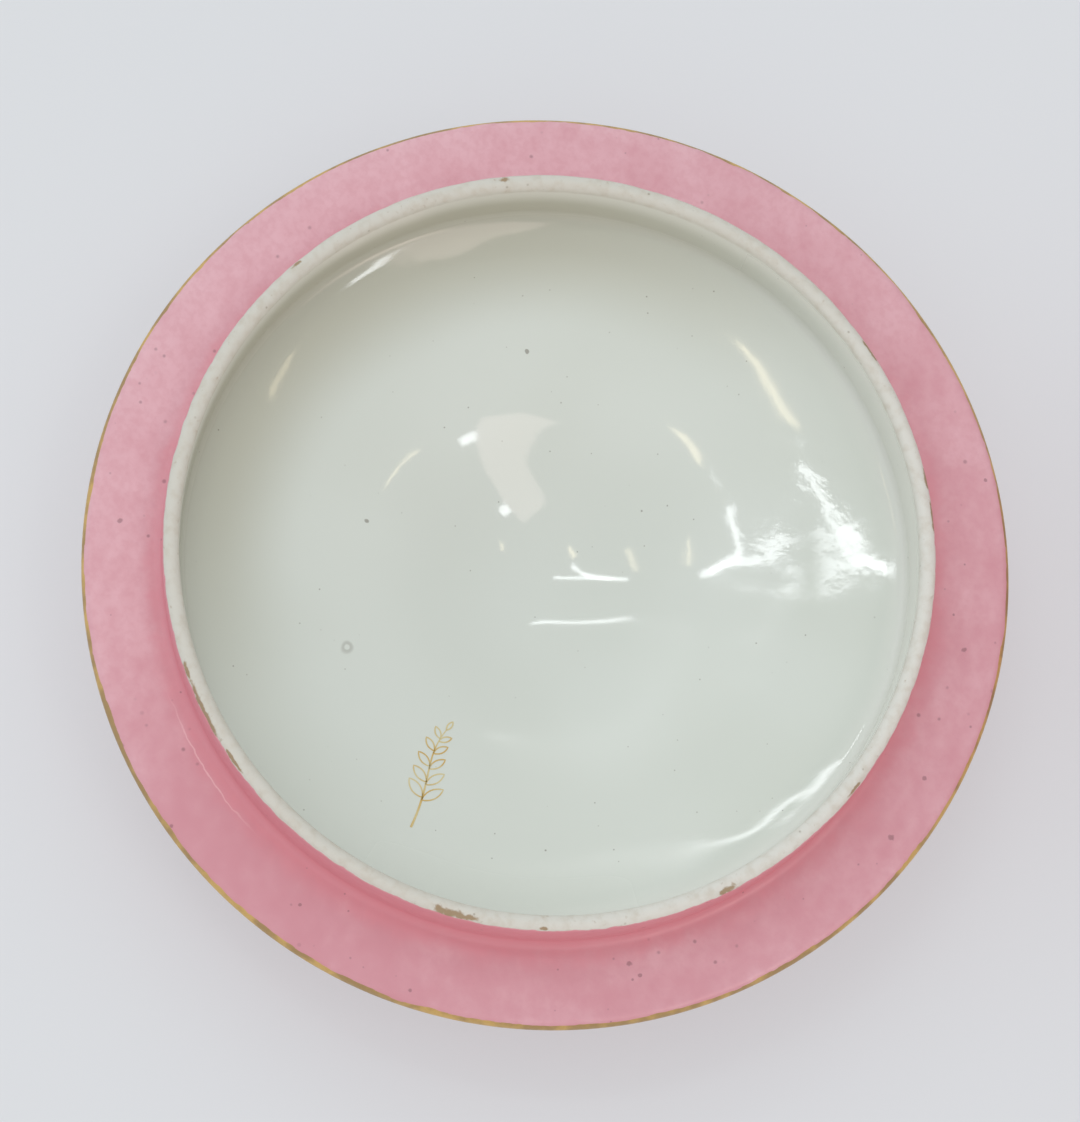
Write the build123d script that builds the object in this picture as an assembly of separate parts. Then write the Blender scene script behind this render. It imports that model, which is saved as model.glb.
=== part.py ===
from build123d import *
import os
from math import cos, radians, sin

# Porcelain powder jar for a dressing table: a low bellied jar standing on a foot ring, and its loose lid.
# The lid is off. It lies upside down beside the jar, level on its flat-topped knob, with the locating ring
# and the glazed inside facing up. Turned over onto the jar, the ring drops into the mouth with clearance
# all round and the flange rests on the jar's rim.
# Millimetres, +Z up, origin on the jar's axis at the table. Every outline is (radius, height) and is turned
# about its own axis; the lid's heights are those it has while it lies upside down on the table.

# Driving dimensions
LID_RADIUS = 65.0          # over the gilded edge of the flange
FLANGE_HEIGHT = 27.0       # the flange's underside, which faces up here, above the table
FLANGE_THICKNESS = 2.6
RING_RADIUS = 53.2         # outside of the locating ring
RING_THICKNESS = 2.3
RING_HEIGHT = 10.4         # above the flange's underside
RING_ROOT_FILLET = 1.2
SHELL_THICKNESS = 3.3
DOME_DEPTH = 9.6           # deepest point of the lid's inside, below the flange's underside
# The lid's inside is a shallow dish: a dip under the knob, a flatter shoulder, then a small round corner
# where the ring stands on it. Each point is (radius, rise above the inside's deepest point).
INSIDE_POINTS = [(13.0, 1.8), (23.0, 4.43), (32.0, 5.8), (41.0, 6.95)]
CORNER_ROUNDING = 1.6
CORNER_RISE = 8.75         # of the dish where the corner starts
CORNER_SLOPE = 15.5        # degrees, of the dish where the corner starts
FLANGE_START_RADIUS = 57.0  # where the dome's outside has run out into the flat flange
KNOB_RADIUS = 12.0
KNOB_FLAT_RADIUS = 8.5     # flat top of the knob, which the lid stands on
KNOB_NECK_RADIUS = 6.4
KNOB_SEAT_RADIUS = 8.0     # where the knob's neck joins the dome
KNOB_BAND_LOW = 3.2
KNOB_BAND_HIGH = 5.4

JAR_HEIGHT = 52.0
JAR_BELLY_RADIUS = 62.5
JAR_BELLY_HEIGHT = 25.0
JAR_NECK_RADIUS = 60.0     # outside of the mouth
JAR_MOUTH_RADIUS = 55.2    # inside of the mouth, clear of the lid's ring
JAR_FLOOR_THICKNESS = 4.4
JAR_WALL_THICKNESS = 4.2
FOOT_RADIUS = 46.0
FOOT_WIDTH = 3.6
FOOT_HEIGHT = 4.0
FOOT_ROUNDING = 0.9
FOOT_BAND_LOW = 1.6
FOOT_BAND_HIGH = 3.0
JAR_MOUTH_DEPTH = 6.5      # upright part of the mouth's inside
JAR_FLOOR_RADIUS = 34.0    # flat part of the floor inside
JAR_KICK = 1.0             # rise of the underside at its middle

GILDING_THICKNESS = 0.15   # drawn thick enough to be a solid of its own
LID_DISTANCE = 155.0       # from the jar's axis to the lid's
LID_BEARING = 45.0         # degrees from +X

# Worked out from them
LID_X = LID_DISTANCE * cos(radians(LID_BEARING))
LID_Y = LID_DISTANCE * sin(radians(LID_BEARING))
RING_INNER_RADIUS = RING_RADIUS - RING_THICKNESS
RING_TOP = FLANGE_HEIGHT + RING_HEIGHT
RIM_ROUNDING = RING_THICKNESS / 2
INSIDE_BOTTOM = FLANGE_HEIGHT - DOME_DEPTH
KNOB_HEIGHT = INSIDE_BOTTOM - SHELL_THICKNESS
EDGE_ROUNDING = FLANGE_THICKNESS / 2
EDGE_CENTRE_RADIUS = LID_RADIUS - GILDING_THICKNESS - EDGE_ROUNDING
EDGE_CENTRE_HEIGHT = FLANGE_HEIGHT - EDGE_ROUNDING
KNOB_BAND_RADIUS = KNOB_RADIUS - GILDING_THICKNESS


def turned(*lines):
    """The closed outline, drawn as (radius, height), turned once round Z."""
    return revolve(make_face(Plane.XZ * Curve(children=list(lines))), Axis.Z)


def band(inner_radius, low, high):
    """A thin gilt band round an upright cylinder."""
    ring = Cylinder(inner_radius + GILDING_THICKNESS, high - low)
    ring -= Cylinder(inner_radius, high - low)
    return Pos(0, 0, (low + high) / 2) * ring


def as_lid(solid):
    """Puts a piece of the lid where the lid lies."""
    return Pos(LID_X, LID_Y, 0) * solid


def save(solid, node):
    print(f"{node:20s} {solid.volume / 1000:8.2f} cm3  solids {len(solid.solids())}")
    export_step(solid, f"parts/{node}.step")


# ---- lid: the shell with its flange, and the locating ring luted to the flange's underside ----

corner_middle = (
    RING_INNER_RADIUS - CORNER_ROUNDING,
    INSIDE_BOTTOM + CORNER_RISE + CORNER_ROUNDING * cos(radians(CORNER_SLOPE)),
)


def on_corner(degrees):
    """A point of the corner's quarter circle, where the surface slopes by this much."""
    slope = radians(degrees)
    return (
        corner_middle[0] + CORNER_ROUNDING * sin(slope), corner_middle[1] - CORNER_ROUNDING * cos(slope)
    )


dish = Spline(
    (0, INSIDE_BOTTOM),
    *[(radius, INSIDE_BOTTOM + rise) for radius, rise in INSIDE_POINTS],
    on_corner(CORNER_SLOPE),
    tangents=((1, 0), (cos(radians(CORNER_SLOPE)), sin(radians(CORNER_SLOPE)))),
)
corner = ThreePointArc(on_corner(CORNER_SLOPE), on_corner((CORNER_SLOPE + 90) / 2), on_corner(90))
# The outside keeps one shell's thickness away, and runs out into the flat flange.
outside = Spline(
    (FLANGE_START_RADIUS, FLANGE_HEIGHT - FLANGE_THICKNESS),
    *[(radius, KNOB_HEIGHT + rise) for radius, rise in reversed(INSIDE_POINTS)],
    (KNOB_SEAT_RADIUS, KNOB_HEIGHT),
    tangents=((-1, 0), (-1, -0.45)),
)
rim_low = RING_TOP - RIM_ROUNDING
root = FLANGE_HEIGHT + RING_ROOT_FILLET
lid_clay = turned(
    dish,
    corner,
    Line(on_corner(90), (RING_INNER_RADIUS, rim_low)),
    ThreePointArc(
        (RING_INNER_RADIUS, rim_low),
        (RING_INNER_RADIUS + RIM_ROUNDING, RING_TOP),
        (RING_RADIUS, rim_low),
    ),
    Line((RING_RADIUS, rim_low), (RING_RADIUS, root)),
    ThreePointArc(
        (RING_RADIUS, root),
        (
            RING_RADIUS + RING_ROOT_FILLET * (1 - cos(radians(45))),
            FLANGE_HEIGHT + RING_ROOT_FILLET * (1 - cos(radians(45))),
        ),
        (RING_RADIUS + RING_ROOT_FILLET, FLANGE_HEIGHT),
    ),
    Line((RING_RADIUS + RING_ROOT_FILLET, FLANGE_HEIGHT), (EDGE_CENTRE_RADIUS, FLANGE_HEIGHT)),
    ThreePointArc(
        (EDGE_CENTRE_RADIUS, FLANGE_HEIGHT),
        (EDGE_CENTRE_RADIUS + EDGE_ROUNDING, EDGE_CENTRE_HEIGHT),
        (EDGE_CENTRE_RADIUS, FLANGE_HEIGHT - FLANGE_THICKNESS),
    ),
    Line(
        (EDGE_CENTRE_RADIUS, FLANGE_HEIGHT - FLANGE_THICKNESS),
        (FLANGE_START_RADIUS, FLANGE_HEIGHT - FLANGE_THICKNESS),
    ),
    outside,
    Line((KNOB_SEAT_RADIUS, KNOB_HEIGHT), (0, KNOB_HEIGHT)),
    Line((0, KNOB_HEIGHT), (0, INSIDE_BOTTOM)),
)
flange_plane = Plane.XY.offset(FLANGE_HEIGHT)
lid_shell = split(lid_clay, bisect_by=flange_plane, keep=Keep.BOTTOM)
lid_locating_ring = split(lid_clay, bisect_by=flange_plane, keep=Keep.TOP)

# ---- lid: knob, flat on top, with a gilt band round its widest part ----
lid_knob = turned(
    Line((0, 0), (KNOB_FLAT_RADIUS, 0)),
    Spline(
        (KNOB_FLAT_RADIUS, 0), (KNOB_BAND_RADIUS, KNOB_BAND_LOW), tangents=((1, 0.12), (0, 1))
    ),
    Line((KNOB_BAND_RADIUS, KNOB_BAND_LOW), (KNOB_BAND_RADIUS, KNOB_BAND_HIGH)),
    Spline(
        (KNOB_BAND_RADIUS, KNOB_BAND_HIGH),
        (KNOB_RADIUS - 3.2, KNOB_HEIGHT - 4.6),
        (KNOB_NECK_RADIUS, KNOB_HEIGHT - 2.4),
        (KNOB_SEAT_RADIUS, KNOB_HEIGHT),
        tangents=((0, 1), (1, 0.8)),
    ),
    Line((KNOB_SEAT_RADIUS, KNOB_HEIGHT), (0, KNOB_HEIGHT)),
    Line((0, KNOB_HEIGHT), (0, 0)),
)
lid_knob_gilding = band(KNOB_BAND_RADIUS, KNOB_BAND_LOW, KNOB_BAND_HIGH)

# ---- lid: gilding wrapped over the flange's rounded edge ----
GILT_WRAP = 60.0  # degrees each side of the edge's middle


def on_edge(radius, degrees):
    """A point round the flange's edge, in the outline's plane."""
    turn = radians(degrees)
    return (EDGE_CENTRE_RADIUS + radius * cos(turn), EDGE_CENTRE_HEIGHT + radius * sin(turn))


gilt_outer = EDGE_ROUNDING + GILDING_THICKNESS
lid_edge_gilding = turned(
    ThreePointArc(
        on_edge(EDGE_ROUNDING, -GILT_WRAP), on_edge(EDGE_ROUNDING, 0), on_edge(EDGE_ROUNDING, GILT_WRAP)
    ),
    Line(on_edge(EDGE_ROUNDING, GILT_WRAP), on_edge(gilt_outer, GILT_WRAP)),
    ThreePointArc(
        on_edge(gilt_outer, GILT_WRAP), on_edge(gilt_outer, 0), on_edge(gilt_outer, -GILT_WRAP)
    ),
    Line(on_edge(gilt_outer, -GILT_WRAP), on_edge(EDGE_ROUNDING, -GILT_WRAP)),
)

# ---- jar: body, with a flat unglazed rim that the lid's flange rests on ----
NECK_BAND_LOW = JAR_HEIGHT - 5.0
NECK_BAND_HIGH = JAR_HEIGHT - 2.6
RIM_OUTER_ROUNDING = 1.6
RIM_INNER_ROUNDING = 1.0
FLOOR_HEIGHT = FOOT_HEIGHT + JAR_KICK + JAR_FLOOR_THICKNESS
neck_radius = JAR_NECK_RADIUS - GILDING_THICKNESS


def quarter(start, end, centre):
    """A quarter circle of the outline from start to end."""
    radius = abs(start[0] - centre[0]) + abs(start[1] - centre[1])
    out = (start[0] + end[0] - 2 * centre[0], start[1] + end[1] - 2 * centre[1])
    middle = tuple(c + radius * cos(radians(45)) * (1 if o > 0 else -1) for c, o in zip(centre, out))
    return ThreePointArc(start, middle, end)


jar_body = turned(
    Spline((0, FOOT_HEIGHT + JAR_KICK), (FOOT_RADIUS - FOOT_WIDTH, FOOT_HEIGHT), tangents=((1, 0), (1, 0))),
    Line((FOOT_RADIUS - FOOT_WIDTH, FOOT_HEIGHT), (FOOT_RADIUS, FOOT_HEIGHT)),
    Spline(
        (FOOT_RADIUS, FOOT_HEIGHT),
        (JAR_BELLY_RADIUS, JAR_BELLY_HEIGHT),
        (neck_radius, NECK_BAND_LOW - 1.0),
        tangents=((1, 0.45), (0, 1)),
    ),
    Line((neck_radius, NECK_BAND_LOW - 1.0), (neck_radius, JAR_HEIGHT - RIM_OUTER_ROUNDING)),
    quarter(
        (neck_radius, JAR_HEIGHT - RIM_OUTER_ROUNDING),
        (neck_radius - RIM_OUTER_ROUNDING, JAR_HEIGHT),
        (neck_radius - RIM_OUTER_ROUNDING, JAR_HEIGHT - RIM_OUTER_ROUNDING),
    ),
    Line(
        (neck_radius - RIM_OUTER_ROUNDING, JAR_HEIGHT), (JAR_MOUTH_RADIUS + RIM_INNER_ROUNDING, JAR_HEIGHT)
    ),
    quarter(
        (JAR_MOUTH_RADIUS + RIM_INNER_ROUNDING, JAR_HEIGHT),
        (JAR_MOUTH_RADIUS, JAR_HEIGHT - RIM_INNER_ROUNDING),
        (JAR_MOUTH_RADIUS + RIM_INNER_ROUNDING, JAR_HEIGHT - RIM_INNER_ROUNDING),
    ),
    Line(
        (JAR_MOUTH_RADIUS, JAR_HEIGHT - RIM_INNER_ROUNDING), (JAR_MOUTH_RADIUS, JAR_HEIGHT - JAR_MOUTH_DEPTH)
    ),
    Spline(
        (JAR_MOUTH_RADIUS, JAR_HEIGHT - JAR_MOUTH_DEPTH),
        (JAR_BELLY_RADIUS - JAR_WALL_THICKNESS, JAR_BELLY_HEIGHT + 2.0),
        (JAR_FLOOR_RADIUS, FLOOR_HEIGHT),
        tangents=((0, -1), (-1, 0)),
    ),
    Line((JAR_FLOOR_RADIUS, FLOOR_HEIGHT), (0, FLOOR_HEIGHT)),
    Line((0, FLOOR_HEIGHT), (0, FOOT_HEIGHT + JAR_KICK)),
)
jar_rim_gilding = band(neck_radius, NECK_BAND_LOW, NECK_BAND_HIGH)

# ---- jar: foot ring with a flat unglazed face, and a gilt line round it ----
foot_inner = FOOT_RADIUS - FOOT_WIDTH
foot_radius = FOOT_RADIUS - GILDING_THICKNESS
jar_foot_ring = turned(
    Line((foot_inner, FOOT_HEIGHT), (foot_inner, FOOT_ROUNDING)),
    quarter(
        (foot_inner, FOOT_ROUNDING),
        (foot_inner + FOOT_ROUNDING, 0),
        (foot_inner + FOOT_ROUNDING, FOOT_ROUNDING),
    ),
    Line((foot_inner + FOOT_ROUNDING, 0), (foot_radius - FOOT_ROUNDING, 0)),
    quarter(
        (foot_radius - FOOT_ROUNDING, 0),
        (foot_radius, FOOT_ROUNDING),
        (foot_radius - FOOT_ROUNDING, FOOT_ROUNDING),
    ),
    Line((foot_radius, FOOT_ROUNDING), (foot_radius, FOOT_HEIGHT)),
    Line((foot_radius, FOOT_HEIGHT), (foot_inner, FOOT_HEIGHT)),
)
jar_foot_gilding = band(foot_radius, FOOT_BAND_LOW, FOOT_BAND_HIGH)

# ---- the separate pieces ----
os.makedirs("parts", exist_ok=True)
save(jar_body, "jar_body")
save(jar_foot_ring, "jar_foot_ring")
save(jar_rim_gilding, "jar_rim_gilding")
save(jar_foot_gilding, "jar_foot_gilding")
save(as_lid(lid_shell), "lid_shell")
save(as_lid(lid_locating_ring), "lid_locating_ring")
save(as_lid(lid_knob), "lid_knob")
save(as_lid(lid_edge_gilding), "lid_edge_gilding")
save(as_lid(lid_knob_gilding), "lid_knob_gilding")
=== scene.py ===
"""Looks of a porcelain powder jar: pink enamel, white glaze, a bare ground rim and worn gilding.

The lid lies upside down under the camera. The jar that it belongs to stands beside it, out of the main view.
Lengths are millimetres and turn into metres where a mesh, light or camera is made.
"""

import math

import bpy
import numpy as np
from mathutils import Matrix, Vector


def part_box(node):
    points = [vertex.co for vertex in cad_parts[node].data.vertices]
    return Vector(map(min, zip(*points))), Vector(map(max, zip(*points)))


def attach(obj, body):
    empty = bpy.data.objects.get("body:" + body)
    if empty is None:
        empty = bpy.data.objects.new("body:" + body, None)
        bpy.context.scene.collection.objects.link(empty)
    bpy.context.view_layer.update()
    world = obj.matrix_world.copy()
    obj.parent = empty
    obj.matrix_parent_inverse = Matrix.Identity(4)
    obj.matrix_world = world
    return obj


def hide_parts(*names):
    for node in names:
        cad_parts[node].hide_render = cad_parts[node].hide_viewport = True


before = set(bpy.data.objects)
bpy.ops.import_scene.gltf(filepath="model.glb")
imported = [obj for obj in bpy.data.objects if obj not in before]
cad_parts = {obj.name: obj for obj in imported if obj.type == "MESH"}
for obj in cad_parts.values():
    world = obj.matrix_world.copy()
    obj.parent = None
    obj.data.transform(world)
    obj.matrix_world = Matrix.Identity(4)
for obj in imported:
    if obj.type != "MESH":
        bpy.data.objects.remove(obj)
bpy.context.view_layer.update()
MM = 0.001


# ---- sizes from the frame ----------------------------------------------------------------------

def span(node):
    """A node's lowest and highest corners at rest, in millimetres."""
    low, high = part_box(node)
    return np.array(low) / MM, np.array(high) / MM


def reach(node):
    """A turned node's outer radius, in millimetres."""
    low, high = span(node)
    return (high[0] - low[0]) / 2


LID_AXIS = np.append(sum(span("lid_shell"))[:2] / 2, 0)
JAR_AXIS = np.zeros(3)
FLANGE_HEIGHT = span("lid_locating_ring")[0][2]
RING_TOP = span("lid_locating_ring")[1][2]
LID_RADIUS = reach("lid_edge_gilding")
CLAY_RADIUS = reach("lid_shell")
RING_FOOT_RADIUS = reach("lid_locating_ring")
KNOB_HEIGHT = span("lid_knob")[1][2]
KNOB_RADIUS = reach("lid_knob")
JAR_HEIGHT = span("jar_body")[1][2]
FOOT_HEIGHT = span("jar_foot_ring")[1][2]
FOOT_RADIUS = reach("jar_foot_ring")
GILT_BAND_THICKNESS = 0.15  # of the frame's gilt bands, outside the porcelain
NECK_RADIUS = reach("jar_rim_gilding") - GILT_BAND_THICKNESS

# The rest of the outlines, the same as the frame's
FLANGE_THICKNESS = 2.6
EDGE_ROUNDING = FLANGE_THICKNESS / 2
RING_THICKNESS = 2.3
RING_ROOT_FILLET = 1.2
RING_RADIUS = RING_FOOT_RADIUS - RING_ROOT_FILLET
RING_INNER_RADIUS = RING_RADIUS - RING_THICKNESS
RIM_ROUNDING = RING_THICKNESS / 2
SHELL_THICKNESS = 3.3
INSIDE_BOTTOM = KNOB_HEIGHT + SHELL_THICKNESS
INSIDE_POINTS = [(13.0, 1.8), (23.0, 4.43), (32.0, 5.8), (41.0, 6.95)]
CORNER_ROUNDING = 1.6
CORNER_RISE = 8.75
CORNER_SLOPE = 15.5
FLANGE_START_RADIUS = 57.0
KNOB_FLAT_RADIUS = 8.5
KNOB_NECK_RADIUS = 6.4
KNOB_NECK_DROP = 2.4        # of its neck below its seat under the shell
KNOB_SHOULDER_INSET = 3.05  # from its side
KNOB_SHOULDER_DROP = 4.6
KNOB_SEAT_RADIUS = 8.0
KNOB_BAND = (3.2, 5.4)
JAR_BELLY = (62.38, 25.0)
JAR_MOUTH_RADIUS = 55.2
JAR_MOUTH_DEPTH = 6.5
LIP_INNER_ROUNDING = 1.0
LIP_OUTER_ROUNDING = 1.6
JAR_FLOOR = (34.0, 9.4)
JAR_INSIDE_BELLY = (58.3, 27.0)
JAR_KICK = 1.0
FOOT_WIDTH = 3.45
FOOT_ROUNDING = 0.9
NECK_BAND = (47.0, 49.4)
NECK_BELOW_BAND = 1.0
FOOT_BAND = (1.6, 3.0)

COLUMNS = 352               # meridians of a turned mesh
WELD = 1e4                  # points that agree to 1 / WELD of a millimetre are one point


# ---- outlines, as (radius, height), drawn from the middle of the top outwards and round to the bottom ----

def line(start, end, count):
    """A straight run of points, both ends included."""
    return np.linspace(start, end, count)


def arc(centre, radius, start, end, count):
    """Part of a circle from start to end degrees."""
    turn = np.radians(np.linspace(start, end, count))
    return np.column_stack([centre[0] + radius * np.cos(turn), centre[1] + radius * np.sin(turn)])


def spline(points, start, end, count):
    """A smooth curve through points that leaves along start and arrives along end."""
    points = np.array(points, float)
    chord = np.linalg.norm(np.diff(points, axis=0), axis=1)
    system = np.eye(len(points))
    wanted = np.zeros_like(points)
    wanted[0] = np.array(start) / np.linalg.norm(start)
    wanted[-1] = np.array(end) / np.linalg.norm(end)
    for i in range(1, len(points) - 1):
        before, after = chord[i - 1], chord[i]
        system[i, i - 1:i + 2] = after, 2 * (before + after), before
        step_after = (points[i + 1] - points[i]) / after
        step_before = (points[i] - points[i - 1]) / before
        wanted[i] = 3 * (before * step_after + after * step_before)
    tangents = np.linalg.solve(system, wanted)
    ends = np.append(0, np.cumsum(chord))
    where = np.linspace(0, ends[-1], count)
    i = np.clip(np.searchsorted(ends, where, side="right") - 1, 0, len(chord) - 1)
    length = chord[i][:, None]
    u = ((where - ends[i]) / chord[i])[:, None]
    return (
        (1 + 2 * u) * (1 - u) ** 2 * points[i]
        + u * (1 - u) ** 2 * length * tangents[i]
        + u * u * (3 - 2 * u) * points[i + 1]
        + u * u * (u - 1) * length * tangents[i + 1]
    )


def joined(*parts):
    """One outline from parts that start where the last one ends."""
    return np.vstack([parts[0]] + [part[1:] for part in parts[1:]])


def run_along(outline):
    """The distance along an outline at each of its points."""
    return np.append(0, np.cumsum(np.linalg.norm(np.diff(outline, axis=0), axis=1)))


corner_slope = math.radians(CORNER_SLOPE)
corner_middle = (
    RING_INNER_RADIUS - CORNER_ROUNDING,
    INSIDE_BOTTOM + CORNER_RISE + CORNER_ROUNDING * math.cos(corner_slope),
)
corner = arc(corner_middle, CORNER_ROUNDING, CORNER_SLOPE - 90, 0, 14)
inside = joined(
    spline(
        [(0, INSIDE_BOTTOM)] + [(r, INSIDE_BOTTOM + rise) for r, rise in INSIDE_POINTS] + [corner[0]],
        (1, 0), (math.cos(corner_slope), math.sin(corner_slope)), 150,
    ),
    corner,
)


def inside_height(radius):
    """How high the inside of the lid is, at a distance from its axis."""
    return float(np.interp(radius, inside[:, 0], inside[:, 1]))


# ---- meshes ------------------------------------------------------------------------------------

def put_in_scene(name, data):
    """A new object for a mesh, a lamp or a camera."""
    made = bpy.data.objects.new(name, data)
    bpy.context.scene.collection.objects.link(made)
    return made


def turned(outline, axis, shape=None, first_run=0.0, columns=COLUMNS):
    """An outline turned about an upright axis: a grid of points, its normals and the run along it."""
    bearing = np.linspace(0, 2 * np.pi, columns, endpoint=False)
    radius, height = outline[:, :1], outline[:, 1:]
    points = np.stack([radius * np.cos(bearing), radius * np.sin(bearing), height + 0 * bearing], -1)
    if shape:
        points = shape(points)
    run = run_along(outline)
    along = np.gradient(points, run, axis=0)
    around = np.roll(points, -1, 1) - np.roll(points, 1, 1)
    normals = np.cross(along, around)
    for row, neighbour in ((0, 1), (-1, -2)):
        if outline[row, 0] < 1 / WELD:
            normals[row] = normals[neighbour].mean(0)
    normals /= np.linalg.norm(normals, axis=2, keepdims=True)
    return points + axis, normals, run + first_run


def flat(first_row, last_row, up, run):
    """A flat ring or disc between two rows of points, facing up (1) or down (-1)."""
    points = np.stack([first_row, last_row])
    normals = np.zeros_like(points)
    normals[:, :, 2] = up
    return points, normals, np.array([run, run])


def middle_of(row):
    """A row's middle point, as often as the row has points, so that flat() can close a disc."""
    return np.broadcast_to(row.mean(0), row.shape)


def rows(sheet, first, last):
    """Part of a sheet, from one row to another, both included."""
    return sheet[0][first:last + 1], sheet[1][first:last + 1], sheet[2][first:last + 1]


def fields_for_materials(spots, runs, stain):
    """The numbers that porcelain() reads at each point of a mesh."""
    on_lid_spots = spots - LID_AXIS
    # the pink's own mottle, painted paler towards the side the light comes from: painted light
    pink_mottle_and_light = 0.6 + 0.28 * towards(on_lid_spots, PINK_LIGHT_BEARING) / LID_RADIUS
    pink_mottle_and_light -= 0.55 * near(on_lid_spots, *DEEP_PINK)
    pink_mottle_and_light += ripple(spots, 9, 0.07, 21) + ripple(spots, 3, 0.06, 22)
    return {
        "run": runs,
        "cloud": ease(0.5 + ripple(spots, 24, 0.25, 23), 0, 1),
        "pink_mottle_and_light": ease(pink_mottle_and_light, -0.2, 1.2),
        "pit_size": 0.16 + 0.16 * ease(ripple(spots, 22, 1.0, 24), -0.4, 1.4),
        "stain": stain(on_lid_spots) if stain else np.zeros(len(spots)),
        "wavy": 3 + 11 * near(on_lid_spots, *WAVY_GLAZE),
        "dull": dull(on_lid_spots),
        "glaze_pool_and_shade": glaze_pool_and_shade(on_lid_spots),
        "painted_light_side": painted_light_side(on_lid_spots),
        "sheen": 0.5 - 0.46 * beside(on_lid_spots, *MATT_GLAZE),
        "crease_highlight": beside(on_lid_spots, *CREASE_HIGHLIGHT_PLACE),
    }


def solid(name, sheets, stain=None):
    """One closed mesh from sheets that meet edge to edge. Its normals are smooth within each sheet.

    stain gives the dirt at each point, in the lid's own millimetres.
    """
    stacked = np.concatenate([points.reshape(-1, 3) for points, _, _ in sheets])
    runs = np.concatenate([np.repeat(run, points.shape[1]) for points, _, run in sheets])
    keys = np.round(stacked * WELD).astype(np.int64)
    _, first, index = np.unique(keys, axis=0, return_index=True, return_inverse=True)
    index = index.reshape(-1)
    faces, normals, start = [], [], 0
    for points, directions, _ in sheets:
        count, columns = points.shape[:2]
        ids = index[start:start + count * columns].reshape(count, columns)
        start += count * columns
        turned_ids = np.roll(ids, -1, 1)
        turned_normals = np.roll(directions, -1, 1)
        corners = np.stack([ids[:-1], ids[1:], turned_ids[1:], turned_ids[:-1]], -1).reshape(-1, 4)
        around = np.stack(
            [directions[:-1], directions[1:], turned_normals[1:], turned_normals[:-1]], 2
        ).reshape(-1, 4, 3)
        for face, face_normals in zip(corners.tolist(), around.tolist()):
            kept = [k for k in range(4) if face[k] != face[k - 1]]
            if len(kept) > 2:
                faces.append([face[k] for k in kept])
                normals.extend(face_normals[k] for k in kept)
    mesh = bpy.data.meshes.new(name)
    mesh.from_pydata((stacked[first] * MM).tolist(), [], faces)
    for field, values in fields_for_materials(stacked[first], runs[first], stain).items():
        mesh.attributes.new(field, "FLOAT", "POINT").data.foreach_set("value", values.astype(np.float32))
    mesh.shade_smooth()
    mesh.normals_split_custom_set(normals)
    return put_in_scene(name, mesh)


def finish_piece(piece, body, slot, material, *nodes):
    """Gives a piece its finish, its body and the frame's nodes that it stands for."""
    piece.data.materials.append(material)
    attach(piece, body)
    if nodes:
        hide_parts(*nodes)


# ---- hand-made unevenness ----------------------------------------------------------------------

def ease(value, low, high):
    """0 at low, 1 at high and smooth between them."""
    share = np.clip((value - low) / (high - low), 0, 1)
    return share * share * (3 - 2 * share)


def ripple(points, width, height, seed, waves=28):
    """A soft uneven field: many waves of about one width, in every direction."""
    random = np.random.default_rng(seed)
    directions = random.normal(size=(waves, 3))
    directions /= np.linalg.norm(directions, axis=1, keepdims=True)
    widths = width * random.uniform(0.7, 1.4, waves)
    phases = random.uniform(0, 2 * np.pi, waves)
    field = np.zeros(points.shape[:-1])
    for direction, wave_width, phase in zip(directions, widths, phases):
        field += np.cos(points @ direction * (2 * np.pi / wave_width) + phase)
    return field * height * math.sqrt(2 / waves)


def place(bearing, radius):
    """A point's x and y from an axis, given its bearing in degrees and its distance from that axis."""
    turn = math.radians(bearing)
    return radius * math.cos(turn), radius * math.sin(turn)


def towards(points, bearing):
    """How far points lie from the lid's axis towards a bearing."""
    return points @ (*place(bearing, 1), 0)


def near(points, bearing, radius, size):
    """1 at a place on the lid, falling off round it."""
    x, y = place(bearing, radius)
    return np.exp(-((points[..., 0] - x) ** 2 + (points[..., 1] - y) ** 2) / (2 * size ** 2))


def beside(points, bearing, radius, half_length, half_width):
    """1 along a short arc round the lid's axis, falling off round it."""
    turn = np.arctan2(points[..., 1], points[..., 0]) - math.radians(bearing)
    turn = (turn + np.pi) % (2 * np.pi) - np.pi
    along = turn * radius / half_length
    across = (np.hypot(points[..., 0], points[..., 1]) - radius) / half_width
    return np.exp(-(along ** 4) - across ** 2)


def between(value, rise, fall):
    """1 between two slopes, each given as (start, end), and 0 outside them."""
    return ease(value, *rise) * (1 - ease(value, *fall))


# Sides of the lid, as bearings in degrees, and patches on it: bearing, radius,
# then size, or half its length and half its width
PINK_LIGHT_BEARING = 348                   # the side towards the light, where the pink is painted palest as painted light
POOL_SHADE_BEARING = 352                   # where the glaze inside it is painted darkest, on the side away from the light: pooled glaze and painted shade
GLAZE_LIGHT_BEARING = 194                   # where the glaze in its corner and the bare rim are painted lightest: painted light on the side facing the light
DEEP_PINK = (92, 60, 22)
CREASE_HIGHLIGHT_PLACE = (77, 55.2, 9, 2)      # beside the ring's foot, where a painted highlight runs along the crease
WAVY_GLAZE = (237, 36, 9)            # where the glaze is most rippled
MATT_GLAZE = (226, 36.8, 8.5, 2.4)   # between two of those ripples, where it has almost no gloss


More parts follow.
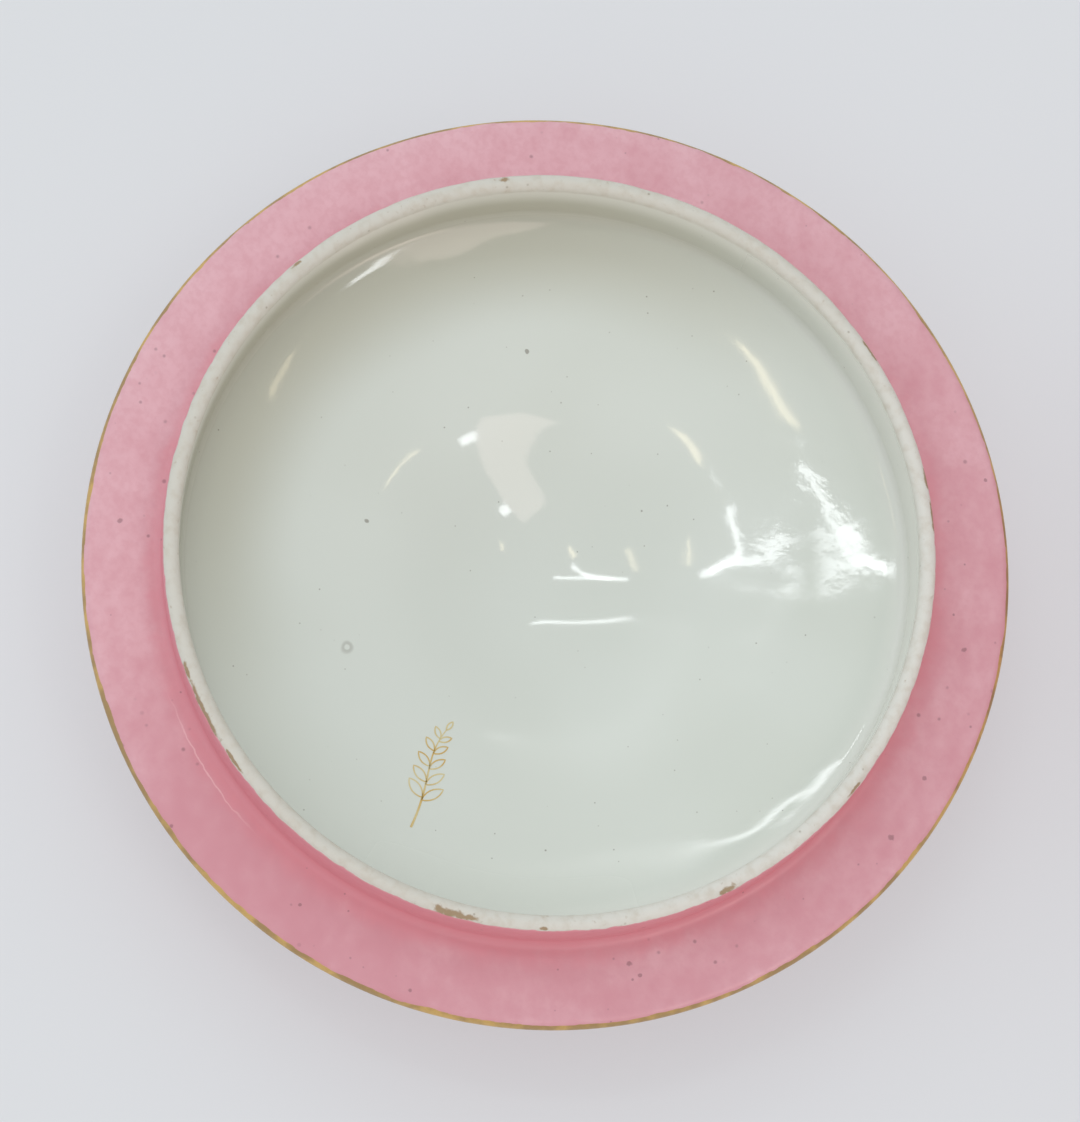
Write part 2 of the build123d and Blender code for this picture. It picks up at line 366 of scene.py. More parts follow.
def dull(points):
    """How dull the glaze inside the lid is: worn in its dish, matt on one side and all round its corner."""
    radius = np.hypot(points[..., 0], points[..., 1])
    bearing = np.degrees(np.arctan2(points[..., 1], points[..., 0])) % 360
    worn = between(radius, (11, 20), (27, 39)) * between(bearing, (100, 142), (190, 222))
    low_side = ease(radius, 34, 46) ** 2 * between(bearing, (70, 115), (142, 172))
    corner = ease(radius, 49.5, 50.8) * (radius < RING_FOOT_RADIUS)
    return np.max([0.7 * worn, 0.9 * low_side, 0.8 * corner], axis=0)


def glaze_pool_and_shade(points):
    """1 where the glaze is painted darkest, round one side of the dish, and a trace of it on the other:
    pooled glaze and painted shade where the corner faces away from the light.
    """
    radius = np.hypot(points[..., 0], points[..., 1])
    side = ease(towards(points, POOL_SHADE_BEARING) / np.maximum(radius, 1), -0.1, 0.95)
    return ease(radius, 34, 47) * (0.05 + 0.95 * side) * (radius < RING_FOOT_RADIUS)


def painted_light_side(points):
    """1 where the corner's glaze and the bare rim are painted whitest, across from the darker side: painted
    light where they face the light.
    """
    radius = np.hypot(points[..., 0], points[..., 1])
    side = ease(towards(points, GLAZE_LIGHT_BEARING) / np.maximum(radius, 1), 0.0, 0.9)
    return ease(radius, 46.5, 51) * side * (radius < RING_FOOT_RADIUS)


# Chips out of the rim: bearing in degrees, radius, half its length and width, depth
RIM_CHIPS = [
    (120.2, 52.55, 3.3, 0.5, 0.35), (71.5, 53.1, 4.6, 0.28, 0.2),
    (161.5, 52.4, 1.7, 0.45, 0.25), (322.8, 52.75, 0.9, 0.42, 0.25),
]
# Dirt and grit ground into the rim, without a chip
RIM_STAINS = [
    (65.5, 53.1, 1.6, 0.22), (80.0, 53.0, 2.2, 0.2), (357.5, 53.2, 0.8, 0.3), (230.5, 52.4, 2.4, 0.25),
    (236.5, 52.35, 1.6, 0.3), (258.3, 52.4, 2.2, 0.2), (133.4, 52.6, 0.8, 0.25), (186.0, 52.4, 1.6, 0.2),
]
STAIN_DEPTH = 2.0               # how far below the rim's top its dirt reaches
RING_SHIFT = place(25.4, 0.53)  # how far the ring was luted off the flange's centre
RING_OVAL = (0.0016, 175)       # half the share by which it is too narrow across this bearing
FLANGE_OVAL = (0.001, 133.5)
RIPPLED_DISH = (232, 36, 9)     # the patch of the dish that has the most ripples: bearing, radius, size


def narrowing(bearing, half, long_bearing):
    """The share by which an oval draws in its radius at each bearing."""
    return half * (1 - np.cos(2 * (bearing - math.radians(long_bearing))))


def lid_shape(points):
    """The lid as it came from the potter's hands: a little out of round, off centre and uneven."""
    x, y, z = points[..., 0], points[..., 1], points[..., 2]
    radius = np.hypot(x, y)
    bearing = np.arctan2(y, x)
    upper = z > np.interp(radius, inside[:, 0], inside[:, 1]) - SHELL_THICKNESS / 2
    on_ring = ease(radius, 30, 47) * (1 - ease(radius, RING_FOOT_RADIUS, 58))
    on_flange = ease(radius, 52, 58)
    oval = 1 - on_ring * narrowing(bearing, *RING_OVAL)
    oval -= on_flange * narrowing(bearing, *FLANGE_OVAL)
    shaped = points.copy()
    shaped[..., 0] = x * oval + on_ring * RING_SHIFT[0]
    shaped[..., 1] = y * oval + on_ring * RING_SHIFT[1]
    dish = (1 - ease(radius, 48.0, 50.0)) * upper
    lift = dish * (ripple(points, 17, 0.018, 3) + ripple(points, 6.5, 0.005, 4))
    lift += dish * near(points, *RIPPLED_DISH) * ripple(points, 5.5, 0.006, 5)
    lift += on_flange * ripple(points, 14, 0.03, 6)
    on_rim = ease(z, RING_TOP - 1.6, RING_TOP - 0.4)
    lift += on_rim * (ripple(points, 7, 0.05, 7) + ripple(points, 2.4, 0.015, 8))
    for *chip, depth in RIM_CHIPS:
        lift -= on_rim * depth * beside(points, *chip)
    shaped[..., 2] = z + lift
    return shaped


def lid_stain(points):
    """Dirt in the chips and scrapes of the lid's rim."""
    marks = [chip[:4] for chip in RIM_CHIPS] + RIM_STAINS
    near_top = points[..., 2] > RING_TOP - STAIN_DEPTH
    return np.max([beside(points, *mark) for mark in marks], axis=0) * near_top


# ---- materials ---------------------------------------------------------------------------------

def srgb(red, green, blue):
    """A colour given as 0 to 255 on screen, as the renderer wants it."""
    values = [c / 255 for c in (red, green, blue)]
    return [c / 12.92 if c <= 0.04045 else ((c + 0.055) / 1.055) ** 2.4 for c in values] + [1.0]


class Finish:
    """A node material with one surface, and short calls for the nodes that feed it."""

    def __init__(self, name, **constants):
        self.material = bpy.data.materials.new(name)
        self.material.use_nodes = True
        self.tree = self.material.node_tree
        self.surface = self.tree.nodes["Principled BSDF"]
        for socket, value in constants.items():
            self.surface.inputs[socket.replace("_", " ")].default_value = value
        metres = self.node("TexCoord").outputs["Object"]
        scaled = self.node("VectorMath", operation="SCALE")
        self.feed(scaled.inputs[0], metres)
        scaled.inputs["Scale"].default_value = 1 / MM
        self.position = scaled.outputs[0]

    def node(self, kind, **settings):
        made = self.tree.nodes.new("ShaderNode" + kind)
        for name, value in settings.items():
            setattr(made, name, value)
        return made

    def feed(self, socket, value):
        """Gives a socket another node's result, or a plain value."""
        if isinstance(value, bpy.types.NodeSocket):
            self.tree.links.new(value, socket)
        else:
            socket.default_value = value

    def math(self, operation, *values):
        made = self.node("Math", operation=operation)
        for socket, value in zip(made.inputs, values):
            self.feed(socket, value)
        return made.outputs[0]

    def largest(self, values):
        result = values[0]
        for value in values[1:]:
            result = self.math("MAXIMUM", result, value)
        return result

    def ease(self, value, low, high, to_low=0.0, to_high=1.0):
        """A smooth step from low to high, which may fall instead of rise."""
        made = self.node("MapRange", interpolation_type="SMOOTHSTEP")
        for socket, number in zip(made.inputs, (value, low, high, to_low, to_high)):
            self.feed(socket, number)
        return made.outputs["Result"]

    def uneven(self, value, noise, size):
        """A value with noise added, by up to half of size either way."""
        return self.math("MULTIPLY_ADD", noise, size, self.math("SUBTRACT", value, size / 2))

    def mix(self, share, first, second, strength=1.0):
        """The first colour turned towards the second, all the way where share times strength is 1."""
        if strength < 1:
            share = self.math("MULTIPLY", share, strength)
        made = self.node("Mix", data_type="RGBA")
        for socket, value in zip((made.inputs[0], made.inputs[6], made.inputs[7]), (share, first, second)):
            self.feed(socket, value)
        return made.outputs[2]

    def blend(self, share, first, second):
        """Like mix, for plain numbers."""
        made = self.node("Mix", data_type="FLOAT")
        for socket, value in zip((made.inputs[0], made.inputs[2], made.inputs[3]), (share, first, second)):
            self.feed(socket, value)
        return made.outputs[0]

    def attribute(self, name):
        """A number that the mesh carries at each of its points."""
        return self.node("Attribute", attribute_name=name).outputs["Fac"]

    def noise(self, width, detail=2.0, shift=(0, 0, 0)):
        """An uneven field about 0.5. width is a blotch's size in millimetres; shift tells fields apart."""
        moved = self.node("VectorMath", operation="ADD")
        self.feed(moved.inputs[0], self.position)
        moved.inputs[1].default_value = [100.0 * part for part in shift]
        made = self.node("TexNoise")
        self.feed(made.inputs["Vector"], moved.outputs[0])
        made.inputs["Scale"].default_value = 1 / width
        made.inputs["Detail"].default_value = detail
        return made.outputs["Fac"]

    def cells(self, spacing):
        """Points scattered about spacing apart: each point's own random number, and the distance to it."""
        made = self.node("TexVoronoi")
        self.feed(made.inputs["Vector"], self.position)
        made.inputs["Scale"].default_value = 1 / spacing
        split = self.node("SeparateColor")
        self.feed(split.inputs[0], made.outputs["Color"])
        return split.outputs[0], self.math("MULTIPLY", made.outputs["Distance"], spacing)

    def spot(self, centre, size, ragged):
        """A blotch round a point, whose outline wanders by ragged times its size."""
        made = self.node("VectorMath", operation="DISTANCE")
        self.feed(made.inputs[0], self.position)
        made.inputs[1].default_value = centre
        uneven = self.math("MULTIPLY_ADD", ragged, size, made.outputs["Value"])
        return self.ease(uneven, size * 1.35, size * 0.7)

    def bump(self, field):
        """Tilts the surface by a field of heights in millimetres."""
        made = self.node("Bump")
        made.inputs["Strength"].default_value = 1.0
        made.inputs["Distance"].default_value = MM
        self.feed(made.inputs["Height"], field)
        self.feed(self.surface.inputs["Normal"], made.outputs["Normal"])


def on_lid(bearing, radius, height):
    """A place on the lid, in millimetres of the frame."""
    x, y = place(bearing, radius)
    return (LID_AXIS[0] + x, LID_AXIS[1] + y, height)


def in_dish(bearing, radius):
    """A place on the inside of the lid."""
    return on_lid(bearing, radius, inside_height(radius))


# Blemishes of the lid: bearing in degrees, radius, size
GLAZE_SPECKS = [(320.3, 31.6, 0.26), (30.5, 26.1, 0.3), (259.2, 16.5, 0.2), (258.2, 8.1, 0.16)]
FLANGE_PITS = [
    (146.1, 56.8, 0.36), (147.1, 58.7, 0.26), (186.2, 60.7, 0.42), (195.4, 59.9, 0.3), (81.2, 64.0, 0.26),
    (40.3, 59.7, 0.32), (99.8, 59.1, 0.24), (117.4, 62.7, 0.26), (213.9, 59.2, 0.32), (237.0, 62.9, 0.24),
]
BLEMISHES = (
    [(on_lid(bearing, radius, FLANGE_HEIGHT), size) for bearing, radius, size in FLANGE_PITS]
    + [(in_dish(bearing, radius), size) for bearing, radius, size in GLAZE_SPECKS]
)
BUBBLE = in_dish(67.6, 30.2)    # a bubble in the glaze that burst: a dark ring round a clear middle
BUBBLE_SIZE = 0.8
BUBBLE_MIDDLE = 0.36

GLAZE = srgb(214, 218, 209)
GLAZE_CLOUD = srgb(206, 210, 199)
GLAZE_MARK = srgb(110, 100, 84)
GLAZE_POOLED_AND_SHADED = srgb(190, 190, 174)
GLAZE_THIN_AND_LIT = srgb(231, 231, 222)
CHALK = srgb(210, 207, 196)
CHALK_PAINTED_LIGHT = srgb(220, 218, 209)
CHALK_DIRT = srgb(190, 178, 158)
GRIT = srgb(124, 106, 78)
STAIN = srgb(152, 124, 86)
PINK = srgb(208, 143, 153)
PINK_PALE = srgb(228, 182, 189)
ROSE = srgb(221, 142, 152)
CREASE_HIGHLIGHT = srgb(238, 196, 200)
PIT = srgb(112, 70, 76)


# Where two coats meet: how far the border wanders along the run in all, and how far it fades to each side
BORDER_WANDER = 1.1
GLAZE_FADE = 0.6
GLAZE_AGAIN_FADE = 0.35
PINK_FADE = 0.1

GLAZE_ROUGHNESS = 0.06
DULL_GLAZE_ROUGHNESS = 0.34
BARE_ROUGHNESS = 0.85
PINK_ROUGHNESS = (0.34, 0.46)
GLAZE_RIPPLES = 0.0014      # millimetres deep for each unit of the mesh's "wavy"
BARE_GRAIN = 0.05
PINK_GRAIN = 0.012


def coats(finish, run, wander, glaze_end, pink_start, pink_end, bare_end):
    """How far each point is past the glaze, and how far it is under pink enamel."""
    along = finish.uneven(run, wander, BORDER_WANDER)
    bare = finish.ease(along, glaze_end - GLAZE_FADE, glaze_end + GLAZE_FADE)
    pink = finish.ease(along, pink_start - PINK_FADE, pink_start + PINK_FADE)
    if pink_end is not None:
        still_pink = finish.ease(along, pink_end + PINK_FADE, pink_end - PINK_FADE)
        still_bare = finish.ease(along, bare_end + GLAZE_AGAIN_FADE, bare_end - GLAZE_AGAIN_FADE)
        pink = finish.math("MULTIPLY", pink, still_pink)
        bare = finish.math("MULTIPLY", bare, still_bare)
    return bare, pink


def specks(finish, fine, bare, pink):
    """Pinholes in the glaze, grit in the bare clay and pits in the enamel."""
    shown, distance = finish.cells(2.1)
    size = finish.blend(pink, finish.blend(bare, 0.12, 0.2), finish.attribute("pit_size"))
    made = finish.ease(finish.math("DIVIDE", finish.uneven(distance, fine, 0.3), size), 1.3, 0.3)
    return finish.math("MULTIPLY", made, finish.ease(shown, 0.42, 0.8))


def glaze_colour(finish, run, glaze_end, marks):
    """White glaze: cloudy, darker and greener where it pooled and in painted shade on the corner's side away
    from the light, whiter as painted light on the corner's side facing it, and whiter where it is thin,
    beside the bare rim.
    """
    colour = finish.mix(finish.attribute("cloud"), GLAZE, GLAZE_CLOUD, 0.35)
    # pooled glaze and painted shade: darker on the corner's side away from the light
    colour = finish.mix(finish.attribute("glaze_pool_and_shade"), colour, GLAZE_POOLED_AND_SHADED)
    # painted light: the corner's glaze whiter on the side that faces the light
    colour = finish.mix(finish.attribute("painted_light_side"), colour, GLAZE_THIN_AND_LIT)
    colour = finish.mix(finish.ease(run, glaze_end - 6, glaze_end - 0.5, 0.0, 0.85), colour, GLAZE_THIN_AND_LIT)
    return finish.mix(marks, colour, GLAZE_MARK, 0.6)


def bubble_ring(finish, wander):
    """The dark ring that the burst bubble left."""
    soft = finish.uneven(0.0, wander, 1.0)
    whole = finish.spot(BUBBLE, BUBBLE_SIZE, soft)
    return finish.math("SUBTRACT", whole, finish.spot(BUBBLE, BUBBLE_MIDDLE, soft))


def bare_colour(finish, fine, marks):
    """Bare clay: chalky, painted lighter on the side that faces the light as painted light, with grey and
    brown grit ground into it.
    """
    # painted light: the rim lighter on the side that faces the light
    chalk = finish.mix(finish.attribute("painted_light_side"), CHALK, CHALK_PAINTED_LIGHT)
    dirt = finish.ease(finish.noise(1.3, 4, (2, 6, 5)), 0.4, 0.8)
    colour = finish.mix(dirt, chalk, CHALK_DIRT, 0.4)
    colour = finish.mix(marks, colour, GRIT, 0.5)
    stain = finish.uneven(finish.attribute("stain"), fine, 1.8)
    return finish.mix(finish.ease(stain, 0.25, 0.75, 0.0, 0.85), colour, STAIN)


def pink_colour(finish, run, wander, fine, root, marks):
    """Pink enamel: mottled and painted paler towards the light; where root is given, deeper beside the foot
    of the lid's ring, from thicker enamel and painted shade in the corner, with a painted highlight along the
    crease there.
    """
    # its mottle also carries painted light: paler towards the lit side
    pink_mottle_and_light = finish.attribute("pink_mottle_and_light")
    colour = finish.mix(pink_mottle_and_light, PINK, PINK_PALE)
    colour = finish.mix(finish.ease(fine, 0.35, 0.7, 0.0, 0.3), colour, PINK)
    if root is not None:
        past_root = finish.math("SUBTRACT", run, root)
        # deeper rose on the ring's wall and round its foot: thicker enamel and painted shade in the corner
        thick_and_shaded = finish.math("MULTIPLY_ADD", pink_mottle_and_light, 1.6, finish.uneven(past_root, wander, 3.0))
        colour = finish.mix(finish.ease(thick_and_shaded, 3.8, -1.0, 0.0, 0.85), colour, ROSE)
        # a painted highlight: a thin light line along the crease at the ring's foot
        past_crease = finish.math("SUBTRACT", finish.math("ADD", past_root, wander), 1.9)
        crease_highlight = finish.ease(finish.math("ABSOLUTE", past_crease), 0.16, 0.04)
        crease_highlight = finish.math("MULTIPLY", crease_highlight, finish.attribute("crease_highlight"))
        colour = finish.mix(crease_highlight, colour, CREASE_HIGHLIGHT, 0.7)
    return finish.mix(marks, colour, PIT, 0.5)


def porcelain(name, glaze_end, pink_start, pink_end=None, bare_end=None, root=None, lid=False):
    """Glaze, then bare clay, then pink enamel along the run; with more stops, bare clay and glaze again.

    root is the run at the foot of the lid's ring, and lid adds the blemishes that only the lid has.
    """
    finish = Finish(name)
    run = finish.attribute("run")
    fine = finish.noise(0.9, 3, (3, 1, 4))
    wander = finish.noise(2.2, 3, (1, 5, 9))
    bare, pink = coats(finish, run, wander, glaze_end, pink_start, pink_end, bare_end)
    marks = specks(finish, fine, bare, pink)
    if lid:
        ragged = finish.uneven(0.0, fine, 2.6)
        marks = finish.largest([marks] + [finish.spot(centre, size, ragged) for centre, size in BLEMISHES])
    glaze = glaze_colour(finish, run, glaze_end, marks)
    if lid:
        glaze = finish.mix(bubble_ring(finish, wander), glaze, GLAZE_MARK, 0.3)
    enamel = pink_colour(finish, run, wander, fine, root, marks)
    colour = finish.mix(pink, finish.mix(bare, glaze, bare_colour(finish, fine, marks)), enamel)
    finish.feed(finish.surface.inputs["Base Color"], colour)

    glaze_rough = finish.blend(finish.attribute("dull"), GLAZE_ROUGHNESS, DULL_GLAZE_ROUGHNESS)
    pink_rough = finish.ease(wander, 0.3, 0.7, *PINK_ROUGHNESS)
    rough = finish.blend(pink, finish.blend(bare, glaze_rough, BARE_ROUGHNESS), pink_rough)
    finish.feed(finish.surface.inputs["Roughness"], rough)
    finish.feed(finish.surface.inputs["Specular IOR Level"], finish.attribute("sheen"))

    # the glaze's unevenness is mostly wide, and that of clay and enamel is fine
    ripples = finish.math("MULTIPLY", finish.attribute("wavy"), GLAZE_RIPPLES)
    depth = finish.blend(pink, finish.blend(bare, ripples, BARE_GRAIN), PINK_GRAIN)
    wave = finish.blend(finish.blend(pink, finish.blend(bare, 0.25, 1.0), 1.0), wander, fine)
    finish.bump(finish.math("MULTIPLY", wave, depth))
    return finish.material


def gilding(name, bright, rubbed):
    """Fired gold, with another colour in the places where it is rubbed thin."""
    finish = Finish(name, Metallic=0.35)
    rub = finish.ease(finish.noise(4.0, 5, (7, 2, 1)), 0.38, 0.62)
    rough = finish.ease(finish.noise(0.6, 3, (8, 4, 2)), 0.3, 0.7, 0.3, 0.55)
    finish.feed(finish.surface.inputs["Base Color"], finish.mix(rub, bright, rubbed))
    finish.feed(finish.surface.inputs["Roughness"], rough)
    return finish.material


TABLE_COLOURS = srgb(168, 171, 174), srgb(171, 174, 177)
TABLE_GLOW = 0.335          # the table's own light, which keeps its shadows pale
TABLE_GLOW_COLOUR = srgb(253, 254, 255)


def tabletop():
    """A plain pale matt surface with a faint light of its own."""
    finish = Finish("pale_table", Roughness=0.8, Specular_IOR_Level=0.2, Emission_Strength=TABLE_GLOW)
    finish.feed(finish.surface.inputs["Base Color"], finish.mix(finish.noise(160, 2), *TABLE_COLOURS))
    finish.surface.inputs["Emission Color"].default_value = TABLE_GLOW_COLOUR
    return finish.material


# ---- the lid -----------------------------------------------------------------------------------

rim_low = RING_TOP - RIM_ROUNDING
rim_middle = RING_INNER_RADIUS + RIM_ROUNDING
edge_middle = (CLAY_RADIUS - EDGE_ROUNDING, FLANGE_HEIGHT - EDGE_ROUNDING)
under_flange = FLANGE_HEIGHT - FLANGE_THICKNESS
ring_inside = line(corner[-1], (RING_INNER_RADIUS, rim_low), 14)
wall = joined(
    inside,
    ring_inside,
    arc((rim_middle, rim_low), RIM_ROUNDING, 180, 0, 24),
    line((RING_RADIUS, rim_low), (RING_RADIUS, FLANGE_HEIGHT + RING_ROOT_FILLET), 18),
    arc((RING_FOOT_RADIUS, FLANGE_HEIGHT + RING_ROOT_FILLET), RING_ROOT_FILLET, 180, 270, 9),
)
lid_outline = joined(
    wall,
    line((RING_FOOT_RADIUS, FLANGE_HEIGHT), (edge_middle[0], FLANGE_HEIGHT), 26),
    arc(edge_middle, EDGE_ROUNDING, 90, -90, 20),
    line((edge_middle[0], under_flange), (FLANGE_START_RADIUS, under_flange), 10),
    spline(
        [(FLANGE_START_RADIUS, under_flange)]
        + [(r, KNOB_HEIGHT + rise) for r, rise in reversed(INSIDE_POINTS)]
        + [(KNOB_SEAT_RADIUS, KNOB_HEIGHT)],
        (-1, 0), (-1, -0.45), 70,
    ),
)
lid_skin = turned(lid_outline, LID_AXIS, lid_shape)
lid_run = lid_skin[2]
ring_foot_row = len(wall) - 1
split_row = int(np.argmin(np.abs(inside[:, 1] - FLANGE_HEIGHT)))
rim_start = lid_run[len(inside) + len(ring_inside) - 2]
rim_end = rim_start + math.pi * RIM_ROUNDING
lid_porcelain = porcelain(
    "lid_porcelain",
    glaze_end=rim_start - 0.1,
    pink_start=rim_end - 0.5,
    root=float(lid_run[ring_foot_row]),
    lid=True,
)

skin = lid_skin[0]
seat = skin[-1]
shell = solid("lid_shell_porcelain", [
    rows(lid_skin, 0, split_row),
    rows(lid_skin, ring_foot_row, len(lid_outline) - 1),
    flat(skin[split_row], skin[ring_foot_row], 1, 0),
    flat(seat, middle_of(seat), -1, lid_run[-1]),
], lid_stain)
finish_piece(shell, "lid", "pink_enamel", lid_porcelain, "lid_shell")
ring = solid("lid_ring_porcelain", [
    rows(lid_skin, split_row, ring_foot_row),
    flat(skin[ring_foot_row], skin[split_row], -1, 0),
], lid_stain)
finish_piece(ring, "lid", "bare_rim", lid_porcelain, "lid_locating_ring")

# the knob, pink all over: its glaze and its bare clay end before its outline starts
band_low, band_high = KNOB_BAND
knob_outline = joined(
    spline(
        [
            (KNOB_SEAT_RADIUS, KNOB_HEIGHT),
            (KNOB_NECK_RADIUS, KNOB_HEIGHT - KNOB_NECK_DROP),
            (KNOB_RADIUS - KNOB_SHOULDER_INSET, KNOB_HEIGHT - KNOB_SHOULDER_DROP),
            (KNOB_RADIUS, band_high),
        ],
        (-1, -0.8), (0, -1), 40,
    ),
    line((KNOB_RADIUS, band_high), (KNOB_RADIUS, band_low), 6),
    spline([(KNOB_RADIUS, band_low), (KNOB_FLAT_RADIUS, 0)], (0, -1), (-1, -0.12), 18),
    line((KNOB_FLAT_RADIUS, 0), (0, 0), 8),
)
knob_skin = turned(knob_outline, LID_AXIS)
knob_top = knob_skin[0][0]
knob = solid("lid_knob_porcelain", [knob_skin, flat(middle_of(knob_top), knob_top, 1, 0)])
plain_pink = porcelain("knob_porcelain", glaze_end=-20.0, pink_start=-10.0)
finish_piece(knob, "lid", "pink_enamel", plain_pink, "lid_knob")


# ---- gilding -----------------------------------------------------------------------------------

GILT_COLUMNS = 1440
GILT_SKIN = 0.03            # how far gold stands out of the porcelain
GILT_ROOT = 0.06            # how deep its underside lies in it
BORDER_STEEPNESS = 6        # of a line's borders, which dip into the porcelain


def brushed_band(name, body, node, outline, axis, seed, edges, wear, shape=None):
    """A gilt line brushed round a turned surface: a thin skin whose uneven borders dip into the clay.

    edges(bearing) gives its two borders, as shares across the outline from -1 to 1. wear makes gaps in it.
    """
    points, normals, run = turned(outline, axis, shape, columns=GILT_COLUMNS)
    across = np.linspace(-1, 1, len(outline))[:, None]
    bearing = np.linspace(0, 2 * np.pi, GILT_COLUMNS, endpoint=False)
    first, last = edges(bearing)
    middle = points[len(outline) // 2]
    brush = ripple(middle, 9, 0.04, seed) + ripple(middle, 2.2, 0.02, seed + 1)
    margin = np.minimum(across - first - brush, last + brush - across) * BORDER_STEEPNESS
    margin += wear * (ripple(points, 2.6, 0.6, seed + 2) + ripple(points, 0.9, 0.5, seed + 3) - 0.9)
    skin = np.clip(margin, -1, 1) * GILT_SKIN
    skin[0] = skin[-1] = -GILT_ROOT
    outside = (points + normals * skin[:, :, None], normals, run)
    underside = ((points - normals * GILT_ROOT)[::-1], -normals[::-1], run)
    finish_piece(solid(name, [outside, underside]), body, "gilding", gold, node)


def flange_gilt_edges(bearing):
    """The lid's line, which climbs a little higher over its edge on one side."""
    wide = np.exp(-((bearing - math.radians(112)) / 0.55) ** 2)
    return -0.62 - 0.06 * wide, 0.75 + 0 * bearing


def even_edges(bearing):
    """A line of one width all round."""
    return -0.7 + 0 * bearing, 0.7 + 0 * bearing


def upright(radius, band, spare=0.25):
    """The line down the outside of an upright band, a little longer than it at each end."""
    low, high = band
    return line((radius, high + spare), (radius, low - spare), 13)


gold = gilding("worn_gold", srgb(210, 174, 106), srgb(172, 142, 96))
lid_edge = arc(edge_middle, EDGE_ROUNDING, 80, -80, 25)
knob_side = upright(KNOB_RADIUS, KNOB_BAND, 0)
neck_side = upright(NECK_RADIUS, NECK_BAND)
foot_side = upright(FOOT_RADIUS, FOOT_BAND)
brushed_band(
    "lid_edge_gilt", "lid", "lid_edge_gilding", lid_edge, LID_AXIS, 31, flange_gilt_edges, 0.08, lid_shape,
)
brushed_band("lid_knob_gilt", "lid", "lid_knob_gilding", knob_side, LID_AXIS, 41, even_edges, 0.3)
brushed_band("jar_neck_gilt", "jar", "jar_rim_gilding", neck_side, JAR_AXIS, 51, even_edges, 0.3)
brushed_band("jar_foot_gilt", "jar", "jar_foot_gilding", foot_side, JAR_AXIS, 61, even_edges, 0.4)


# ---- a small gilt sprig inside the lid, a plain ornament ------------------------------------------

SPRIG_PLACE = place(107, 34)
SPRIG_RIGHT, SPRIG_UP = place(225, 1), place(315, 1)
STEM = [(-2.6, -7.2), (-1.4, -3.6), (-0.6, 0.2), (0.3, 4.0), (2.0, 7.0)]
STEM_WIDTH = (0.34, 0.16)
LEAF_ROWS = (11, 17, 23, 29, 34)    # where pairs of leaves leave the stem, as rows of its 40 points
LEAF_ANGLE = 48
LEAF_LENGTH = 3.3
LEAF_SHORTENING = 0.36              # from each pair to the next
LEAF_LINE_WIDTH = 0.2
BUD_LENGTH = 1.5
BUD_LINE_WIDTH = 0.22


def sprig_stroke(points, width):
    """One brush stroke on the inside of the lid, as the corners of its top and underside along it."""
    path = np.array(points, float)
    along = np.gradient(path, axis=0)
    side = np.column_stack([-along[:, 1], along[:, 0]]) / np.linalg.norm(along, axis=1, keepdims=True)
    corners = []
    for share, lift in ((1, GILT_SKIN), (-1, GILT_SKIN), (-1, -GILT_ROOT), (1, -GILT_ROOT)):
        flat_path = path + side * share * np.asarray(width).reshape(-1, 1) / 2
        x = SPRIG_PLACE[0] + flat_path[:, 0] * SPRIG_RIGHT[0] + flat_path[:, 1] * SPRIG_UP[0]
        y = SPRIG_PLACE[1] + flat_path[:, 0] * SPRIG_RIGHT[1] + flat_path[:, 1] * SPRIG_UP[1]
        z = [inside_height(radius) for radius in np.hypot(x, y)]
        placed = lid_shape(np.column_stack([x, y, z]))
        corners.append(placed + LID_AXIS + (0, 0, lift))
    return np.stack(corners, 1)


def sprig_leaf(foot, angle, length):
    """The outline of a pointed leaf that starts at its foot."""
    turn = math.radians(angle)
    share = np.linspace(0, 1, 12)
    half = 0.2 * length * np.sin(np.pi * share) ** 0.8
    along = length * share
    shape = np.vstack([np.column_stack([along, half]), np.column_stack([along, -half])[::-1][1:]])
    rotation = np.array([[math.cos(turn), math.sin(turn)], [-math.sin(turn), math.cos(turn)]])
    return np.array(foot) + shape @ rotation


def gilt_sprig():
    """A curved stem with pairs of small leaves, and a bud at its tip."""
    stem = spline(STEM, (0.4, 1), (0.8, 1), 40)
    heading = np.degrees(np.arctan2(*np.gradient(stem, axis=0).T[::-1]))
    strokes = [sprig_stroke(stem, np.linspace(*STEM_WIDTH, len(stem)))]
    for step, row in enumerate(LEAF_ROWS):
        for side in (1, -1):
            foot = stem[row + (side > 0)]
            leaf = sprig_leaf(foot, heading[row] + side * LEAF_ANGLE, LEAF_LENGTH - LEAF_SHORTENING * step)
            strokes.append(sprig_stroke(leaf, np.full(len(leaf), LEAF_LINE_WIDTH)))
    bud = sprig_leaf(stem[-1], heading[-1], BUD_LENGTH)
    strokes.append(sprig_stroke(bud, np.full(len(bud), BUD_LINE_WIDTH)))
    points, faces = [], []
    for stroke in strokes:
        start = len(points)
        end = start + 4 * (len(stroke) - 1)
        points.extend(stroke.reshape(-1, 3))
        for row in range(start, end, 4):
            for corner in range(4):
                a = row + corner
                b = row + (corner + 1) % 4
                faces.append((a, b, b + 4, a + 4))
        faces.append((start + 3, start + 2, start + 1, start))
        faces.append((end, end + 1, end + 2, end + 3))
    mesh = bpy.data.meshes.new("lid_gilt_sprig")
    mesh.from_pydata((np.array(points) * MM).tolist(), [], faces)
    return put_in_scene("lid_gilt_sprig", mesh)


sprig_gold = gilding("sprig_gold", srgb(196, 164, 96), srgb(206, 192, 146))
finish_piece(gilt_sprig(), "lid", "gilding", sprig_gold)


# ---- the jar -----------------------------------------------------------------------------------

